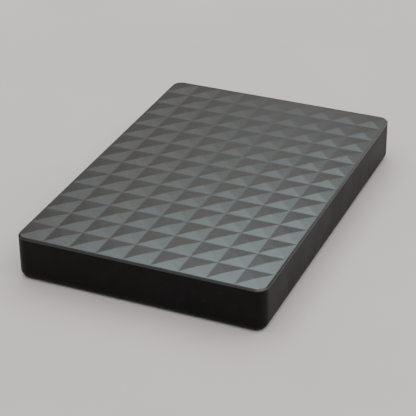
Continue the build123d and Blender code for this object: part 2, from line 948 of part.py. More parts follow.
# Magnet frame of the actuator
tail_park = arm_park + 180
tail_middle = arm_middle + 180
frame_half = coil_half + degrees(frame_wall / coil_inner_radius)
stop_radius = post_radius + press_gap + stop_wall
stop_angle = frame_half + degrees(asin((stop_radius + stop_gap) / stop_reach))
post_places = [
    from_pivot(stop_reach, tail_park + stop_angle),
    from_pivot(stop_reach, tail_park - arm_swing - stop_angle),
]
z_lower_magnet = z_bay + yoke_thickness
z_coil = z_lower_magnet + magnet_thickness + magnet_gap
z_upper_yoke = z_upper_yoke_top - yoke_thickness
z_upper_magnet = z_upper_yoke - magnet_thickness
z_coil_top = z_upper_magnet - magnet_gap


def make_yoke(z0):
    plate = at_pivot * sector(yoke_inner_radius, yoke_radius, tail_middle, arm_swing / 2 + stop_angle)
    for place in post_places:
        plate += Pos(*place) * Circle(post_lobe)
    return slab(plate, z0, z0 + yoke_thickness)


def make_magnet(z0):
    magnet = sector(coil_inner_radius, coil_outer_radius, tail_middle, arm_swing / 2 + coil_half - coil_leg)
    return at_pivot * slab(magnet, z0, z0 + magnet_thickness)


def make_yoke_posts():
    return group(disc(place, post_radius, z_lower_magnet, z_upper_yoke) for place in post_places)


def make_stop_sleeves():
    inner = post_radius + press_gap
    return group(ring(place, inner, stop_radius, z_coil, z_coil_top) for place in post_places)


# Parking ramp: a comb whose fins lift the head tabs off the disks
ramp_inner = arm_length + beam_past_head + ramp_beam_gap
ramp_outer = tab_reach + ramp_beam_gap
fin_start = reach_angle((ramp_inner + ramp_outer) / 2, platter_radius - ramp_overlap)
ramp_post_start = reach_angle(ramp_outer, platter_radius + 2 * ramp_rim_gap)
ramp_end = arm_park + ramp_end_angle
ramp_foot_place = from_pivot(
    ramp_outer + ramp_post_wall + ramp_head_radius + ramp_rim_gap, (ramp_post_start + ramp_end) / 2
)


def make_ramp():
    lip = head_gap - ramp_tab_gap
    fin = sector(
        ramp_inner,
        ramp_outer + ramp_beam_gap,
        (fin_start + ramp_end) / 2,
        (ramp_end - fin_start) / 2,
    )
    post = sector(
        ramp_outer,
        ramp_outer + ramp_post_wall,
        (ramp_post_start + ramp_end) / 2,
        (ramp_end - ramp_post_start) / 2,
    )
    ramp = at_pivot * slab(post, z_bay, z_clamp + lip)
    for low in (z_disk1, z_disk2):
        high = low + platter_thickness
        ramp += at_pivot * slab(fin, low - lip, high + lip)
    for low in (z_disk1, z_disk2):
        ramp -= disc(
            spindle,
            platter_radius + ramp_rim_gap,
            low - ramp_notch_gap,
            low + platter_thickness + ramp_notch_gap,
        )
    ramp += disc(ramp_foot_place, ramp_foot_radius, z_bay, z_bay + ramp_foot_height)
    return ramp - disc(ramp_foot_place, ramp_screw_radius + screw_gap, z_bay, z_bay + ramp_foot_height)


def make_ramp_screw():
    top = z_bay + ramp_foot_height
    return disc(ramp_foot_place, ramp_screw_radius, z_room, top) + disc(
        ramp_foot_place, ramp_head_radius, top, top + screw_head_height
    )


def make_flex_bracket():
    x, y = bracket_place
    half_x, half_y = bracket_size[0] / 2, bracket_size[1] / 2
    block = span(x - half_x, x + half_x, y - half_y, y + half_y, z_bay, z_bay + bracket_size[2])
    half_x, half_y = bracket_plug[0] / 2, bracket_plug[1] / 2
    return block + span(x - half_x, x + half_x, y - half_y, y + half_y, z_pcb_top, z_bay)


def make_flex_cable():
    """Thin ribbon: a wrap beside the arm block's hub, a loop, and a short run to its bracket."""
    half = flex_thickness / 2
    wrap = arm_hub_radius + flex_gap
    ribbon = at_pivot * sector(
        wrap - half, wrap + half, flex_leave_angle + flex_wrap_angle / 2, flex_wrap_angle / 2
    )
    turn = (180 - flex_leave_angle) / 2
    ribbon += Pos(*flex_loop_centre) * sector(flex_loop_radius - half, flex_loop_radius + half, -turn, turn)
    end = bracket_place[0]
    ribbon += span_face(end - half, end + half, flex_loop_centre[1], flex_loop_centre[1] + flex_run)
    middle = (z_disk1_top + z_disk2) / 2
    return slab(ribbon, middle - flex_height / 2, middle + flex_height / 2)


def make_filter(x, y, size):
    return span(x, x + size[0], y, y + size[1], z_bay, z_bay + size[2])


# Disk drive, spinning pieces
def make_spindle_hub():
    body = platter_bore_radius - hub_fit
    bore = shaft_radius + press_gap
    void = sleeve_radius + motor_gap
    skirt = rotor_radius + press_gap
    return turned(
        spindle,
        [
            (skirt, z_rotor),
            (hub_flange_radius, z_rotor),
            (hub_flange_radius, z_disk1),
            (body, z_disk1),
            (body, z_clamp),
            (bore, z_clamp),
            (bore, z_hub_void),
            (void, z_hub_void),
            (void, z_flange),
            (skirt, z_flange),
        ],
    )


def make_spindle_shaft():
    bottom = z_drive + motor_plate_recess + sleeve_foot + running_gap
    shaft = disc(spindle, shaft_radius, bottom, z_clamp)
    return shaft - disc(spindle, clamp_screw_radius + press_gap, z_clamp - clamp_screw_length, z_clamp)


def make_rotor_magnet():
    return ring(spindle, rotor_radius - rotor_magnet_wall, rotor_radius, z_rotor, z_flange - press_gap)


def make_platter(z0):
    return ring(spindle, platter_bore_radius, platter_radius, z0, z0 + platter_thickness)


def make_disk_spacer():
    return ring(spindle, platter_bore_radius, platter_bore_radius + spacer_wall, z_disk1_top, z_disk2)


def make_disk_clamp():
    rim = platter_bore_radius + clamp_wall
    bore = clamp_screw_radius + press_gap
    shoulder = z_clamp + clamp_rim_height
    return turned(
        spindle,
        [(bore, z_clamp), (rim, z_clamp), (rim, shoulder), (platter_bore_radius, z_screw), (bore, z_screw)],
    )


def make_clamp_screw():
    return disc(spindle, clamp_head_radius, z_screw, z_screw + clamp_screw_head) + disc(
        spindle, clamp_screw_radius, z_clamp - clamp_screw_length, z_screw
    )


# Disk drive, swinging pieces, drawn with the arm along X and the pivot at the origin
cartridge_radius = pivot_shaft_radius + running_gap + bearing_wall + press_gap + sleeve_wall
z_cartridge = z_bay + pivot_flange_height + stack_end_gap
z_cartridge_top = z_stack_top - stack_end_gap
middle_arm = (z_disk1_top + head_gap, z_disk2 - head_gap)
beam_levels = [
    (z_disk1 - head_gap, 1),
    (z_disk1_top + head_gap, -1),
    (z_disk2 - head_gap, 1),
    (z_clamp + head_gap, -1),
]


def make_arm_block():
    """Three arms and the coil's seat on one hub."""
    arm = taper_hull(0, arm_hub_radius, arm_tip_place, arm_tip_radius)
    arm -= taper_hull(relief_place, relief_radius, relief_end, relief_end_radius)
    block = disc((0, 0), arm_hub_radius, z_stack, z_stack_top)
    block += slab(arm, z_stack, z_stack + outer_arm_thickness)
    block += slab(arm, *middle_arm)
    block += slab(arm, z_stack_top - outer_arm_thickness, z_stack_top)
    block += slab(sector(pivot_shaft_radius, tail_radius, 180, coil_half), z_coil, z_coil_top)
    block -= disc((0, 0), cartridge_radius + press_gap, z_stack, z_stack_top)
    return at_arm * block


def make_pivot_sleeve():
    return ring(pivot, cartridge_radius - sleeve_wall, cartridge_radius, z_cartridge, z_cartridge_top)


def make_pivot_bearings():
    inner = pivot_shaft_radius + running_gap
    lows = (z_cartridge, z_cartridge_top - bearing_height)
    return group(ring(pivot, inner, inner + bearing_wall, low, low + bearing_height) for low in lows)


def make_voice_coil():
    """Flat winding with two straight legs, rounded at its corners."""
    coil = sector(coil_inner_radius, coil_outer_radius, 180, coil_half)
    coil = fillet(coil.vertices(), coil_corner)
    leg_angle = degrees(coil_leg / coil_outer_radius)
    window = sector(
        coil_inner_radius + coil_leg - coil_corner,
        coil_outer_radius - coil_leg + coil_corner,
        180,
        coil_half - leg_angle,
    )
    return at_arm * slab(coil - window, z_coil, z_coil_top)


def make_coil_frame():
    """Moulded frame round the coil, seated on the arm block's tail."""
    outer = sector(tail_radius + frame_gap, coil_outer_radius + frame_wall, 180, frame_half)
    coil = fillet(sector(coil_inner_radius, coil_outer_radius, 180, coil_half).vertices(), coil_corner)
    return at_arm * slab(outer - offset(coil, frame_gap), z_coil, z_coil_top)


def make_suspension(level, up):
    """One load beam on an arm's face, with its lift tab bent away from the disk."""
    head = arm_length + beam_past_head
    beam = make_face(
        Polyline(
            (beam_start, -beam_root_half),
            (arm_tip_place + arm_tip_radius, -beam_root_half),
            (head, -beam_tip_half),
            (head, beam_tip_half),
            (arm_tip_place + arm_tip_radius, beam_root_half),
            (beam_start, beam_root_half),
            close=True,
        )
    )
    face = level + up * beam_thickness
    blade = slab(beam, min(level, face), max(level, face))
    tab = span(head - beam_past_head, tab_reach, -tab_half, tab_half, level, level - up * beam_thickness)
    return at_arm * (blade + tab)


def make_suspensions():
    return group(make_suspension(level, up) for level, up in beam_levels)


def make_head_sliders():
    """Sliders that fly on the disks, one under each load beam."""
    half_x, half_y = slider_size[0] / 2, slider_size[1] / 2
    heads = []
    for level, up in beam_levels:
        seat = level + up * beam_thickness
        face = seat + up * slider_size[2]
        block = span(arm_length - half_x, arm_length + half_x, -half_y, half_y, seat, face)
        heads.append(at_arm * block)
    return group(heads)


pieces = {
    "top_cover": make_top_cover(),
    "base_case": make_base_case(),
    "bumper_front_left": make_bumper(-1, -1),
    "bumper_front_right": make_bumper(1, -1),
    "bumper_rear_left": make_bumper(-1, 1),
    "bumper_rear_right": make_bumper(1, 1),
    "light_pipe": make_light_pipe(),
    "bridge_board": make_bridge_board(),
    "usb_shell": make_usb_shell(),
    "usb_insulator": make_usb_insulator(),
    "usb_contacts": make_usb_contacts(),
    "sata_receptacle": make_sata_receptacle(),
    "bridge_controller": board_chip(*bridge_chip_place, bridge_chip_size),
    "bridge_flash": board_chip(*flash_place, flash_size),
    "bridge_crystal": board_chip(*crystal_place, crystal_size),
    "bridge_inductor": board_chip(*inductor_place, inductor_size),
    "bridge_capacitors": make_bridge_capacitors(),
    "activity_led": board_chip(*led_place, led_size),
    "drive_base": make_drive_base(),
    "drive_cover": make_drive_cover(),
    "cover_gasket": make_cover_gasket(),
    "cover_screws": make_cover_screws(),
    "drive_pcb": make_drive_pcb(),
    "drive_controller": pcb_chip(controller_offset, controller_size),
    "motor_driver": pcb_chip(driver_offset, driver_size),
    "cache_memory": pcb_chip(memory_offset, memory_size),
    "pcb_screws": make_pcb_screws(),
    "sata_plug": make_sata_plug(),
    "sata_contacts": make_sata_contacts(),
    "bearing_sleeve": make_bearing_sleeve(),
    "stator_core": make_stator_core(),
    "stator_coils": make_stator_coils(),
    "pivot_shaft": make_pivot_shaft(),
    "lower_yoke": make_yoke(z_bay),
    "upper_yoke": make_yoke(z_upper_yoke),
    "lower_magnet": make_magnet(z_lower_magnet),
    "upper_magnet": make_magnet(z_upper_magnet),
    "yoke_posts": make_yoke_posts(),
    "stop_sleeves": make_stop_sleeves(),
    "ramp": make_ramp(),
    "ramp_screw": make_ramp_screw(),
    "flex_bracket": make_flex_bracket(),
    "flex_cable": make_flex_cable(),
    "recirculation_filter": make_filter(
        filter_gap - bay_half,
        cover_screw_places[2][1] - screw_boss_radius - filter_gap - filter_size[1],
        filter_size,
    ),
    "breather_filter": make_filter(
        side_boss_face - breather_size[0] - filter_gap,
        bay_back - breather_size[1] - filter_gap,
        breather_size,
    ),
    "spindle_hub": make_spindle_hub(),
    "spindle_shaft": make_spindle_shaft(),
    "rotor_magnet": make_rotor_magnet(),
    "lower_platter": make_platter(z_disk1),
    "upper_platter": make_platter(z_disk2),
    "disk_spacer": make_disk_spacer(),
    "disk_clamp": make_disk_clamp(),
    "clamp_screw": make_clamp_screw(),
    "arm_block": make_arm_block(),
    "pivot_sleeve": make_pivot_sleeve(),
    "pivot_bearings": make_pivot_bearings(),
    "voice_coil": make_voice_coil(),
    "coil_frame": make_coil_frame(),
    "suspensions": make_suspensions(),
    "head_sliders": make_head_sliders(),
}

os.makedirs("parts", exist_ok=True)
for name, piece in pieces.items():
    export_step(piece, f"parts/{name}.step")

print("case", round(case_width, 3), round(case_length, 3), round(z_apex, 3))
print("disk drive", round(2 * drive_half, 3), round(drive_length, 3), round(z_drive_top - z_drive, 3))
print("spindle", [round(v, 4) for v in spindle], "pivot", [round(v, 4) for v in pivot])
print("swing", round(arm_swing, 3))
print("port centre height", round(z_board_top + usb_sheet + usb_cavity_height / 2, 3))
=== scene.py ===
from math import radians

import bpy
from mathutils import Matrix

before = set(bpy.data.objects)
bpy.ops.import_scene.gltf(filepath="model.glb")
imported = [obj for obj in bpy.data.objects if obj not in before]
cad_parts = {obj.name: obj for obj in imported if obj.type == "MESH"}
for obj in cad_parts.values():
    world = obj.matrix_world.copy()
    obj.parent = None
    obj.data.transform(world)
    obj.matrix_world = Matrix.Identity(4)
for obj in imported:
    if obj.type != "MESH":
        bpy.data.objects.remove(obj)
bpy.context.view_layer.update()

# Tray: the deep lower half of the case, injection moulded in black plastic, which carries all the rest.
# The tool's walls were lightly spark eroded, so the faces are satin with a very fine grain.
# The lid snaps on its rim, and three specks of dust lie on its front wall.
tray_black = (0.0050, 0.0048, 0.0050, 1.0)
tray_grey = (0.0075, 0.0072, 0.0073, 1.0)
dust_grey = (0.032, 0.029, 0.029, 1.0)
dust_size = 0.00032
dust_places = (
    (0.0313, -0.05855, 0.0079),
    (0.0265, -0.05855, 0.0109),
    (0.0215, -0.05855, 0.0070),
)
even = (1.0, 1.0, 1.0)


def start_finish(name):
    """A new material, its node tree and its shader."""
    material = bpy.data.materials.new(name)
    material.use_nodes = True
    return material, material.node_tree, material.node_tree.nodes["Principled BSDF"]


def piece_place(tree):
    """Where a point of the surface is, in the piece's own coordinates."""
    return tree.nodes.new("ShaderNodeTexCoord").outputs["Object"]


def grain(tree, lumps, detail=3.0, stretch=even):
    """Noise with so many lumps a metre, drawn out along the axes whose stretch is small."""
    mapping = tree.nodes.new("ShaderNodeMapping")
    mapping.inputs["Scale"].default_value = stretch
    noise = tree.nodes.new("ShaderNodeTexNoise")
    noise.inputs["Scale"].default_value = lumps
    noise.inputs["Detail"].default_value = detail
    tree.links.new(piece_place(tree), mapping.inputs["Vector"])
    tree.links.new(mapping.outputs["Vector"], noise.inputs["Vector"])
    return noise.outputs["Fac"]


def tint(tree, pattern, dark, light, low=0.35, high=0.65):
    """A colour that runs from dark to light as the pattern rises from low to high."""
    ramp = tree.nodes.new("ShaderNodeValToRGB")
    ramp.color_ramp.elements[0].position = low
    ramp.color_ramp.elements[0].color = dark
    ramp.color_ramp.elements[1].position = high
    ramp.color_ramp.elements[1].color = light
    tree.links.new(pattern, ramp.inputs["Fac"])
    return ramp.outputs["Color"]


def spread(tree, pattern, glossy, dull, low=0.3, high=0.7):
    """A roughness that runs from glossy to dull as the pattern rises from low to high."""
    reach = tree.nodes.new("ShaderNodeMapRange")
    reach.inputs["From Min"].default_value = low
    reach.inputs["From Max"].default_value = high
    reach.inputs["To Min"].default_value = glossy
    reach.inputs["To Max"].default_value = dull
    tree.links.new(pattern, reach.inputs["Value"])
    return reach.outputs["Result"]


def blend(tree, share, ground, spot):
    """A ground colour that gives way to a spot's colour as the share rises."""
    mix = tree.nodes.new("ShaderNodeMix")
    mix.data_type = "RGBA"
    tree.links.new(share, mix.inputs["Factor"])
    tree.links.new(ground, mix.inputs["A"])
    mix.inputs["B"].default_value = spot
    return mix.outputs["Result"]


def dress(tree, shader, colour, roughness):
    """Gives the shader its colour and its roughness."""
    tree.links.new(colour, shader.inputs["Base Color"])
    tree.links.new(roughness, shader.inputs["Roughness"])


def relief(tree, shader, pattern, depth, strength):
    """Small heights on the surface, of a depth in metres."""
    bump = tree.nodes.new("ShaderNodeBump")
    bump.inputs["Distance"].default_value = depth
    bump.inputs["Strength"].default_value = strength
    tree.links.new(pattern, bump.inputs["Height"])
    tree.links.new(bump.outputs["Normal"], shader.inputs["Normal"])


def dust_speck(tree, place):
    """A spot that is full at a place and fades out over the dust's size."""
    distance = tree.nodes.new("ShaderNodeVectorMath")
    distance.operation = "DISTANCE"
    distance.inputs[1].default_value = place
    tree.links.new(piece_place(tree), distance.inputs[0])
    fade = tree.nodes.new("ShaderNodeMapRange")
    fade.inputs["From Max"].default_value = dust_size
    fade.inputs["To Min"].default_value = 1.0
    fade.inputs["To Max"].default_value = 0.0
    tree.links.new(distance.outputs["Value"], fade.inputs["Value"])
    return fade.outputs["Result"]


def paint(material, *names):
    """Gives CAD nodes their finish."""
    for name in names:
        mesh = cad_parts[name].data
        mesh.materials.clear()
        mesh.materials.append(material)


tray_plastic, tree, shader = start_finish("tray_plastic")
dust = dust_speck(tree, dust_places[0])
for place in dust_places[1:]:
    more_dust = tree.nodes.new("ShaderNodeMath")
    more_dust.operation = "ADD"
    tree.links.new(dust, more_dust.inputs[0])
    tree.links.new(dust_speck(tree, place), more_dust.inputs[1])
    dust = more_dust.outputs["Value"]
wall_colour = tint(tree, grain(tree, lumps=260.0), tray_black, tray_grey)
dress(
    tree,
    shader,
    colour=blend(tree, dust, wall_colour, dust_grey),
    roughness=spread(tree, grain(tree, lumps=90.0, detail=5.0), glossy=0.40, dull=0.48),
)
shader.inputs["Specular IOR Level"].default_value = 0.12
relief(tree, shader, grain(tree, lumps=5200.0, detail=2.0), depth=0.000006, strength=0.5)
paint(tray_plastic, "base_case")

# Lid: the moulded upper half, a thin plate with a grid of shallow four-sided facets.
# The same black plastic, but the facets come off a polished tool, so they are glossier than the walls.
# Its rim and bevel get the tray's black as painted shade, a dark band below the facets, and hooks under
# its edge snap into the tray for good.
lid_black = (0.0175, 0.0165, 0.0162, 1.0)
lid_grey = (0.0195, 0.0184, 0.0180, 1.0)
# Height below which the lid's bevel and rim are painted darker, as painted shade.
painted_shade_top = 0.01454
lid_plastic, tree, shader = start_finish("lid_plastic")
height = tree.nodes.new("ShaderNodeSeparateXYZ")
tree.links.new(piece_place(tree), height.inputs["Vector"])
painted_shade_mask = tree.nodes.new("ShaderNodeMath")
painted_shade_mask.operation = "LESS_THAN"
painted_shade_mask.inputs[1].default_value = painted_shade_top
tree.links.new(height.outputs["Z"], painted_shade_mask.inputs[0])
facet_colour = tint(tree, grain(tree, lumps=300.0), lid_black, lid_grey)
dress(
    tree,
    shader,
    # Painted shade: below that height the lid's colour turns to the tray's black, darkening its bevel
    # and rim.
    colour=blend(tree, painted_shade_mask.outputs["Value"], facet_colour, tray_black),
    roughness=spread(tree, grain(tree, lumps=120.0, detail=5.0), glossy=0.215, dull=0.24),
)
shader.inputs["Specular IOR Level"].default_value = 0.65
relief(tree, shader, grain(tree, lumps=4600.0, detail=2.0), depth=0.000002, strength=0.25)
paint(lid_plastic, "top_cover")

# Corner mounts: four blocks of soft black rubber that hold the disk drive clear of the case.
# A peg on each goes into a side hole of the drive, and the small stop sleeves are the same rubber.
# Moulded rubber is dull, with a dusty bloom.


def grained_finish(name, dark, light, mottle, gloss, haze, bumps, depth, strength, **levels):
    """A finish with one grain for its colour, one for its gloss and one for its relief.

    mottle, haze and bumps say what those three grains are, gloss is the glossiest and the dullest
    roughness, and levels are where the colour starts and stops to change.
    """
    material, tree, shader = start_finish(name)
    dress(
        tree,
        shader,
        colour=tint(tree, grain(tree, **mottle), dark, light, **levels),
        roughness=spread(tree, grain(tree, **haze), *gloss),
    )
    relief(tree, shader, grain(tree, **bumps), depth, strength)
    return material, shader


corner_rubber, shader = grained_finish(
    "corner_rubber",
    dark=(0.012, 0.012, 0.012, 1.0),
    light=(0.04, 0.039, 0.037, 1.0),
    mottle={"lumps": 420.0, "detail": 6.0},
    gloss=(0.72, 0.92),
    haze={"lumps": 700.0},
    bumps={"lumps": 2600.0, "detail": 4.0},
    depth=0.00002,
    strength=0.6,
)
paint(
    corner_rubber,
    "bumper_front_left",
    "bumper_front_right",
    "bumper_rear_left",
    "bumper_rear_right",
    "stop_sleeves",
)

# Light pipe: a short moulded rod that carries the lamp's light through the end wall.
# Clear plastic, a little milky so that its face glows evenly.
# It is pushed into its hole from inside, up to its collar.
light_guide, shader = grained_finish(
    "light_guide",
    dark=(0.72, 0.77, 0.80, 1.0),
    light=(0.88, 0.91, 0.92, 1.0),
    mottle={"lumps": 900.0},
    gloss=(0.18, 0.32),
    haze={"lumps": 1500.0},
    bumps={"lumps": 2400.0},
    depth=0.000008,
    strength=0.4,
)
shader.inputs["Transmission Weight"].default_value = 0.45
shader.inputs["IOR"].default_value = 1.58
paint(light_guide, "light_pipe")

# Circuit boards: glass-cloth laminate with copper tracks under a green lacquer.
# The interface board sits on two pins of the tray, the drive's own is screwed under its casting.
# Tracks show as paler lines, and round pads of bare solder lie between them.
lacquer_green = (0.008, 0.085, 0.040, 1.0)
lacquer_bright = (0.010, 0.100, 0.048, 1.0)
track_green = (0.030, 0.190, 0.095, 1.0)
pad_solder = (0.62, 0.60, 0.52, 1.0)
pad_reach = 0.09
board_lacquer, tree, shader = start_finish("board_lacquer")
tracks = tree.nodes.new("ShaderNodeTexBrick")
tracks.offset = 0.37
tracks.squash = 0.6
tracks.inputs["Color1"].default_value = lacquer_green
tracks.inputs["Color2"].default_value = lacquer_bright
tracks.inputs["Mortar"].default_value = track_green
tracks.inputs["Scale"].default_value = 420.0
tracks.inputs["Mortar Size"].default_value = 0.06
tree.links.new(piece_place(tree), tracks.inputs["Vector"])
cells = tree.nodes.new("ShaderNodeTexVoronoi")
cells.inputs["Scale"].default_value = 330.0
tree.links.new(piece_place(tree), cells.inputs["Vector"])
pad = tree.nodes.new("ShaderNodeMath")
pad.operation = "LESS_THAN"
pad.inputs[1].default_value = pad_reach
tree.links.new(cells.outputs["Distance"], pad.inputs[0])
dress(
    tree,
    shader,
    colour=blend(tree, pad.outputs["Value"], tracks.outputs["Color"], pad_solder),
    roughness=spread(tree, grain(tree, lumps=600.0), glossy=0.28, dull=0.42),
)
tree.links.new(pad.outputs["Value"], shader.inputs["Metallic"])
relief(tree, shader, tracks.outputs["Fac"], depth=0.00002, strength=0.5)
paint(board_lacquer, "bridge_board", "drive_pcb")

# Port: a folded shell of plated sheet steel, soldered on the board behind the end wall's window.
# The crystal's can is the same bright sheet.
# Rolling leaves faint streaks along the sheet.
rolled = (1.0, 0.06, 1.0)
socket_sheet, shader = grained_finish(
    "socket_sheet",
    dark=(0.50, 0.50, 0.49, 1.0),
    light=(0.68, 0.68, 0.67, 1.0),
    mottle={"lumps": 500.0, "detail": 4.0, "stretch": rolled},
    gloss=(0.22, 0.38),
    haze={"lumps": 900.0, "detail": 4.0, "stretch": rolled},
    bumps={"lumps": 3500.0, "detail": 2.0, "stretch": (1.0, 0.05, 1.0)},
    depth=0.000004,
    strength=0.4,
)
shader.inputs["Metallic"].default_value = 1.0
paint(socket_sheet, "usb_shell", "bridge_crystal")

# Connector bodies: moulded black plastic filled with short glass fibre.
# The fibre shows as fine pale flow marks along the piece.
# They are soldered to their boards or pressed into the casting.
connector_plastic, shader = grained_finish(
    "connector_plastic",
    dark=(0.012, 0.012, 0.012, 1.0),
    light=(0.034, 0.034, 0.035, 1.0),
    mottle={"lumps": 700.0, "detail": 5.0, "stretch": (0.25, 1.0, 1.0)},
    gloss=(0.42, 0.58),
    haze={"lumps": 800.0},
    bumps={"lumps": 3800.0, "detail": 3.0},
    depth=0.00001,
    strength=0.5,
)
paint(connector_plastic, "usb_insulator", "sata_receptacle", "sata_plug", "flex_bracket")

# Contacts: strips of spring metal with a gold flash, on the tongues of both connectors.
# The plating is thin, so it is a little uneven.
# They are moulded into the tongues' faces.
contact_gold, shader = grained_finish(
    "contact_gold",
    dark=(0.70, 0.46, 0.16, 1.0),
    light=(0.86, 0.64, 0.28, 1.0),
    mottle={"lumps": 1400.0, "detail": 4.0},
    gloss=(0.20, 0.34),
    haze={"lumps": 2200.0, "detail": 3.0, "stretch": (1.0, 0.1, 1.0)},
    bumps={"lumps": 5000.0},
    depth=0.000003,
    strength=0.4,
)
shader.inputs["Metallic"].default_value = 1.0
paint(contact_gold, "usb_contacts", "sata_contacts")

# Chips: black epoxy moulded round the silicon, with the dull skin that the mould leaves.
# They are soldered flat on the boards.
# Nothing is printed on them.
chip_epoxy, shader = grained_finish(
    "chip_epoxy",
    dark=(0.014, 0.014, 0.015, 1.0),
    light=(0.032, 0.032, 0.033, 1.0),
    mottle={"lumps": 1800.0, "detail": 5.0},
    gloss=(0.55, 0.70),
    haze={"lumps": 1200.0},
    bumps={"lumps": 6500.0, "detail": 2.0},
    depth=0.000012,
    strength=0.6,
)
paint(
    chip_epoxy,
    "bridge_controller",
    "bridge_flash",
    "drive_controller",
    "motor_driver",
    "cache_memory",
)

# Inductor: a block of pressed ferrite powder, dark grey with a speckle of coarser grains.
# It is soldered by metal ends that are hidden under it.
# Pressed powder is dull and slightly rough.
inductor_ferrite, shader = grained_finish(
    "inductor_ferrite",
    dark=(0.035, 0.035, 0.038, 1.0),
    light=(0.13, 0.13, 0.135, 1.0),
    mottle={"lumps": 3000.0, "detail": 6.0},
    low=0.40,
    high=0.68,
    gloss=(0.60, 0.80),
    haze={"lumps": 1600.0},
    bumps={"lumps": 4200.0, "detail": 4.0},
    depth=0.00002,
    strength=0.6,
)
paint(inductor_ferrite, "bridge_inductor")

# Small ceramic pieces: capacitors of fired layers on the interface board, and the heads' sliders.
# Tan ceramic with faint darker layers that run level.
# The capacitors are soldered, the sliders are glued to their springs.
fired_ceramic, shader = grained_finish(
    "fired_ceramic",
    dark=(0.27, 0.18, 0.11, 1.0),
    light=(0.44, 0.33, 0.22, 1.0),
    mottle={"lumps": 1500.0, "detail": 3.0, "stretch": (0.2, 0.2, 3.0)},
    gloss=(0.38, 0.55),
    haze={"lumps": 1800.0},
    bumps={"lumps": 5000.0},
    depth=0.000006,
    strength=0.5,
)
paint(fired_ceramic, "bridge_capacitors", "head_sliders")

# Lamp: a small moulded light on the board's edge, behind the light pipe.
# White resin with a clear face, faintly yellow from its phosphor.
# It is soldered on its side, so that it shines out through the wall.
lamp_resin, shader = grained_finish(
    "lamp_resin",
    dark=(0.78, 0.76, 0.66, 1.0),
    light=(0.90, 0.90, 0.84, 1.0),
    mottle={"lumps": 1100.0},
    gloss=(0.22, 0.36),
    haze={"lumps": 1600.0},
    bumps={"lumps": 3600.0},
    depth=0.000006,
    strength=0.4,
)
paint(lamp_resin, "activity_led")

# Casting: the disk drive's base, die cast in aluminium and machined where it has to be true.
# The arm block is milled from the same metal.
# The cast skin is slightly pebbled, with flow marks.
cast_aluminium, shader = grained_finish(
    "cast_aluminium",
    dark=(0.42, 0.43, 0.44, 1.0),
    light=(0.50, 0.51, 0.52, 1.0),
    mottle={"lumps": 160.0, "detail": 6.0},
    gloss=(0.36, 0.54),
    haze={"lumps": 340.0, "detail": 5.0},
    bumps={"lumps": 1500.0, "detail": 4.0},
    depth=0.000025,
    strength=0.5,
)
shader.inputs["Metallic"].default_value = 0.9
paint(cast_aluminium, "drive_base", "arm_block")

# Cover and screws: the drive's lid is stamped from stainless sheet, brushed along its length.
# All the drive's screws are the same steel, and so are the heads' springs.
# The brushing shows as long fine streaks.
brushing = (1.0, 0.02, 1.0)
brushed_steel, shader = grained_finish(
    "brushed_steel",
    dark=(0.50, 0.50, 0.50, 1.0),
    light=(0.70, 0.70, 0.69, 1.0),
    mottle={"lumps": 1300.0, "detail": 5.0, "stretch": brushing},
    gloss=(0.26, 0.44),
    haze={"lumps": 1900.0, "detail": 5.0, "stretch": brushing},
    bumps={"lumps": 4200.0, "detail": 3.0, "stretch": brushing},
    depth=0.000005,
    strength=0.5,
)
shader.inputs["Metallic"].default_value = 1.0
paint(
    brushed_steel,
    "drive_cover",
    "cover_screws",
    "pcb_screws",
    "ramp_screw",
    "clamp_screw",
    "suspensions",
)

# Gasket: a cord of black closed-cell foam in a groove round the drive's rim.
# The cover squeezes it, so the drive is sealed.
# Its cut cells make it rough and dull.
gasket_foam, shader = grained_finish(
    "gasket_foam",
    dark=(0.010, 0.010, 0.010, 1.0),
    light=(0.055, 0.055, 0.055, 1.0),
    mottle={"lumps": 2400.0, "detail": 6.0},
    gloss=(0.80, 0.96),
    haze={"lumps": 2000.0},
    bumps={"lumps": 3600.0, "detail": 4.0},
    depth=0.00005,
    strength=0.8,
)
paint(gasket_foam, "cover_gasket")

# Shafts and sleeves: bar steel, turned and ground, for the spindle, the pivot and its bearings.
# Grinding leaves fine marks round each piece, which read as level lines on an upright shaft.
# They are pressed into their seats.
grinding = (0.1, 0.1, 3.0)
ground_steel, shader = grained_finish(
    "ground_steel",
    dark=(0.46, 0.46, 0.47, 1.0),
    light=(0.66, 0.66, 0.67, 1.0),
    mottle={"lumps": 900.0, "detail": 4.0, "stretch": grinding},
    gloss=(0.14, 0.28),
    haze={"lumps": 1600.0, "detail": 4.0, "stretch": grinding},
    bumps={"lumps": 3600.0, "detail": 2.0, "stretch": (0.1, 0.1, 4.0)},
    depth=0.000003,
    strength=0.4,
)
shader.inputs["Metallic"].default_value = 1.0
paint(
    ground_steel,
    "bearing_sleeve",
    "pivot_shaft",
    "pivot_sleeve",
    "pivot_bearings",
    "spindle_shaft",
    "yoke_posts",
)

# Stator: a stack of thin sheets of silicon steel, punched with nine teeth, pressed on the sleeve.
# The sheets' edges show as level lines.
# A blue-grey coat keeps the sheets apart.
sheet_dark = (0.14, 0.15, 0.17, 1.0)
sheet_light = (0.34, 0.35, 0.37, 1.0)


def bands(tree, direction, scale, waver=0.0):
    """Close parallel lines across a direction, which waver a little."""
    wave = tree.nodes.new("ShaderNodeTexWave")
    wave.bands_direction = direction
    wave.inputs["Scale"].default_value = scale
    wave.inputs["Distortion"].default_value = waver
    tree.links.new(piece_place(tree), wave.inputs["Vector"])
    return wave.outputs["Fac"]


stator_sheets, tree, shader = start_finish("stator_sheets")
sheets = bands(tree, "Z", scale=1600.0, waver=0.6)
dress(
    tree,
    shader,
    colour=tint(tree, sheets, sheet_dark, sheet_light, low=0.2, high=0.8),
    roughness=spread(tree, grain(tree, lumps=1200.0), glossy=0.34, dull=0.50),
)
shader.inputs["Metallic"].default_value = 1.0
relief(tree, shader, sheets, depth=0.00002, strength=0.5)
paint(stator_sheets, "stator_core")

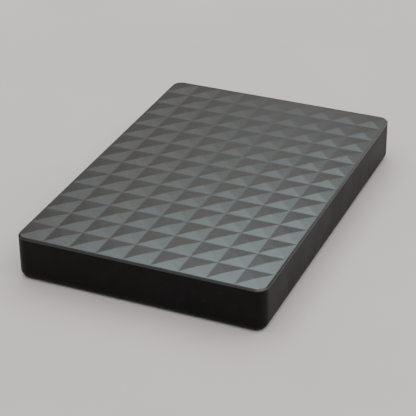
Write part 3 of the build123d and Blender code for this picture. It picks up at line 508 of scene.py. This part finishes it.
# Windings: fine copper wire under clear enamel, on the stator's teeth and in the arm's flat coil.
# The turns show as close parallel lines, and glue holds the flat coil together.
# Enamel makes them glossy and a little red.
wire_shade = (0.34, 0.13, 0.05, 1.0)
wire_copper = (0.74, 0.36, 0.17, 1.0)
enamelled_wire, tree, shader = start_finish("enamelled_wire")
turns = bands(tree, "DIAGONAL", scale=900.0, waver=1.2)
dress(
    tree,
    shader,
    colour=tint(tree, turns, wire_shade, wire_copper, low=0.15, high=0.75),
    roughness=spread(tree, grain(tree, lumps=1500.0), glossy=0.24, dull=0.40),
)
shader.inputs["Metallic"].default_value = 0.85
shader.inputs["Coat Weight"].default_value = 0.4
relief(tree, shader, turns, depth=0.00004, strength=0.8)
paint(enamelled_wire, "stator_coils", "voice_coil")

# Yokes and magnets: steel plates that hold the arm's magnets, and sintered magnets, nickel plated.
# The plating is bright with a warm cast, and slightly rippled over the magnets' grain.
# Posts between the plates set their gap.
nickel_plate, shader = grained_finish(
    "nickel_plate",
    dark=(0.52, 0.49, 0.44, 1.0),
    light=(0.70, 0.68, 0.62, 1.0),
    mottle={"lumps": 380.0, "detail": 5.0},
    gloss=(0.12, 0.24),
    haze={"lumps": 800.0, "detail": 4.0},
    bumps={"lumps": 1800.0, "detail": 3.0},
    depth=0.000008,
    strength=0.4,
)
shader.inputs["Metallic"].default_value = 1.0
paint(nickel_plate, "lower_yoke", "upper_yoke", "lower_magnet", "upper_magnet", "rotor_magnet")

# Ramp and coil frame: ivory engineering plastic, moulded to a fine limit.
# The head tabs park on the ramp's fins, and the frame holds the flat coil behind the arm.
# It is slippery, so its skin is smooth and waxy.
ramp_plastic, shader = grained_finish(
    "ramp_plastic",
    dark=(0.70, 0.59, 0.38, 1.0),
    light=(0.78, 0.69, 0.50, 1.0),
    mottle={"lumps": 520.0, "detail": 4.0},
    gloss=(0.34, 0.48),
    haze={"lumps": 900.0},
    bumps={"lumps": 3200.0, "detail": 2.0},
    depth=0.000006,
    strength=0.4,
)
shader.inputs["Subsurface Weight"].default_value = 0.1
shader.inputs["Subsurface Scale"].default_value = 0.0006
paint(ramp_plastic, "ramp", "coil_frame")

# Flexible circuit: amber film with copper tracks inside, from the bracket to the arm's hub.
# The tracks run along the ribbon, so they show as level lines on its upright faces.
# It is bent on edge into a loop.
film_amber = (0.36, 0.12, 0.012, 1.0)
film_copper = (0.60, 0.28, 0.06, 1.0)
amber_film, tree, shader = start_finish("amber_film")
film_tracks = bands(tree, "Z", scale=700.0)
dress(
    tree,
    shader,
    colour=tint(tree, film_tracks, film_amber, film_copper, low=0.3, high=0.6),
    roughness=spread(tree, grain(tree, lumps=1000.0), glossy=0.20, dull=0.34),
)
relief(tree, shader, film_tracks, depth=0.00001, strength=0.5)
paint(amber_film, "flex_cable")

# Filters: pads of white felt, one in the air that the disks drag round, one over the breather.
# Fibres lie every way, so the face is matt and woolly.
# They are pressed into corners of the casting.
filter_felt, shader = grained_finish(
    "filter_felt",
    dark=(0.62, 0.62, 0.59, 1.0),
    light=(0.88, 0.88, 0.85, 1.0),
    mottle={"lumps": 1800.0, "detail": 8.0},
    gloss=(0.85, 0.97),
    haze={"lumps": 1500.0},
    bumps={"lumps": 2600.0, "detail": 8.0},
    depth=0.0001,
    strength=0.8,
)
shader.inputs["Sheen Weight"].default_value = 0.3
paint(filter_felt, "recirculation_filter", "breather_filter")

# Hub, spacer and clamp: turned aluminium rings on the motor, which grip the disks.
# The lathe leaves fine rings round the spindle's axis.
# One screw in the shaft pulls the clamp down.
spindle_place = (0.0, -0.019125, 0.0)
turned_dark = (0.56, 0.56, 0.57, 1.0)
turned_light = (0.76, 0.76, 0.77, 1.0)


def lathe_rings(tree, scale, waver):
    """Fine rings round the spindle's axis, which waver a little."""
    centred = tree.nodes.new("ShaderNodeMapping")
    centred.inputs["Location"].default_value = [-value for value in spindle_place]
    rings = tree.nodes.new("ShaderNodeTexWave")
    rings.wave_type = "RINGS"
    rings.rings_direction = "Z"
    rings.inputs["Scale"].default_value = scale
    rings.inputs["Distortion"].default_value = waver
    tree.links.new(piece_place(tree), centred.inputs["Vector"])
    tree.links.new(centred.outputs["Vector"], rings.inputs["Vector"])
    return rings.outputs["Fac"]


turned_aluminium, tree, shader = start_finish("turned_aluminium")
rings = lathe_rings(tree, scale=1500.0, waver=0.8)
dress(
    tree,
    shader,
    colour=tint(tree, rings, turned_dark, turned_light, low=0.1, high=0.9),
    roughness=spread(tree, grain(tree, lumps=700.0), glossy=0.20, dull=0.32),
)
shader.inputs["Metallic"].default_value = 1.0
relief(tree, shader, rings, depth=0.000004, strength=0.5)
paint(turned_aluminium, "spindle_hub", "disk_spacer", "disk_clamp")

# Disks: aluminium blanks, plated and polished to a mirror, with the magnetic film on both faces.
# Their faces are almost perfect, with only the faintest rings from polishing.
# They spin with the hub, clamped at their bores.
mirror_dark = (0.72, 0.72, 0.73, 1.0)
mirror_light = (0.76, 0.76, 0.76, 1.0)
disk_mirror, tree, shader = start_finish("disk_mirror")
rings = lathe_rings(tree, scale=260.0, waver=0.3)
dress(
    tree,
    shader,
    colour=tint(tree, rings, mirror_dark, mirror_light, low=0.1, high=0.9),
    roughness=spread(tree, grain(tree, lumps=300.0), glossy=0.035, dull=0.06),
)
shader.inputs["Metallic"].default_value = 1.0
paint(disk_mirror, "lower_platter", "upper_platter")

# Floor: a plain pale sheet of paper under the drive, wide enough to fill every view.
# Its tone varies a little, as pulp does.
floor_width = 12.0
paper_dark = (0.60, 0.57, 0.56, 1.0)
paper_light = (0.63, 0.60, 0.59, 1.0)
bpy.ops.object.select_all(action="DESELECT")
bpy.ops.mesh.primitive_plane_add(size=floor_width, location=(0.0, 0.0, 0.0))
floor = bpy.context.active_object
floor.name = "floor"
floor_paper, tree, shader = start_finish("floor_paper")
tree.links.new(
    tint(tree, grain(tree, lumps=14.0, detail=4.0), paper_dark, paper_light),
    shader.inputs["Base Color"],
)
shader.inputs["Roughness"].default_value = 0.9
shader.inputs["Specular IOR Level"].default_value = 0.1
floor.data.materials.append(floor_paper)

# Studio: a soft dome, dim at the horizon, brightest in a ring round its crown and darker at the crown.
# A small panel close behind the drive is the main light, so the near facets are the brightest.
# A long narrow one glows low behind it, and three weak ones fill in from the other sides.
dome_crown = (0.140, 0.163, 0.977)
dome_strength = 3.022
dome_tint = (1.0, 0.985, 0.97)
dome_levels = (
    (0.0, 0.019),
    (0.208, 0.039),
    (0.375, 0.090),
    (0.530, 0.163),
    (0.669, 0.384),
    (0.809, 1.0),
    (0.940, 0.573),
    (1.0, 0.147),
)
daylight = (0.68, 0.98, 1.0)
world = bpy.data.worlds.new("studio_dome")
world.use_nodes = True
bpy.context.scene.world = world
tree = world.node_tree
way = tree.nodes.new("ShaderNodeTexCoord")
lean = tree.nodes.new("ShaderNodeVectorMath")
lean.operation = "DOT_PRODUCT"
lean.inputs[1].default_value = dome_crown
tree.links.new(way.outputs["Generated"], lean.inputs[0])
dome = tree.nodes.new("ShaderNodeValToRGB")
while len(dome.color_ramp.elements) < len(dome_levels):
    dome.color_ramp.elements.new(1.0)
for stop, (cosine, level) in zip(dome.color_ramp.elements, dome_levels):
    stop.position = cosine
    stop.color = [level * part for part in dome_tint] + [1.0]
tree.links.new(lean.outputs["Value"], dome.inputs["Fac"])
tree.links.new(dome.outputs["Color"], tree.nodes["Background"].inputs["Color"])
tree.nodes["Background"].inputs["Strength"].default_value = dome_strength


def soft_panel(name, place, width, height, power, colour, roll=0.0):
    """A soft light at a place, faced to the drive and rolled by some degrees."""
    light = bpy.data.lights.new(name, "AREA")
    light.shape = "RECTANGLE"
    light.size = width
    light.size_y = height
    light.energy = power
    light.color = colour
    panel = bpy.data.objects.new(name, light)
    bpy.context.scene.collection.objects.link(panel)
    panel.location = place
    panel.rotation_euler = panel.location.to_track_quat("Z", "Y").to_euler()
    panel.rotation_euler.rotate_axis("Z", radians(roll))


soft_panel(
    "rear_panel",
    place=(-0.149, 0.359, 0.390),
    width=0.280,
    height=0.122,
    power=0.276,
    colour=daylight,
    roll=19.8,
)
soft_panel(
    "low_panel",
    place=(-0.574, 1.786, 0.690),
    width=1.198,
    height=0.114,
    power=0.29,
    colour=dome_tint,
    roll=45.4,
)
soft_panel(
    "right_panel",
    place=(0.881, 1.729, 0.484),
    width=0.45,
    height=0.24,
    power=0.45,
    colour=dome_tint,
)
soft_panel(
    "left_panel",
    place=(-1.699, -0.147, 1.045),
    width=0.667,
    height=0.362,
    power=0.82,
    colour=dome_tint,
)
soft_panel(
    "front_panel",
    place=(-0.661, -1.634, 0.945),
    width=1.623,
    height=0.324,
    power=1.26,
    colour=dome_tint,
)

# Camera: a long lens above the front right corner, at the photograph's viewing angle.
# Lens and sensor are in millimetres, and the turns are in degrees.
sensor_width = 36.0
lens_length = 130.613
camera_place = (0.167358, -0.387817, 0.244840)
camera_turns = (60.0767, 0.6092, 23.3068)
lens = bpy.data.cameras.new("camera")
lens.sensor_width = sensor_width
lens.lens = lens_length
camera = bpy.data.objects.new("camera", lens)
bpy.context.scene.collection.objects.link(camera)
bpy.context.scene.camera = camera
camera.location = camera_place
camera.rotation_euler = [radians(turn) for turn in camera_turns]
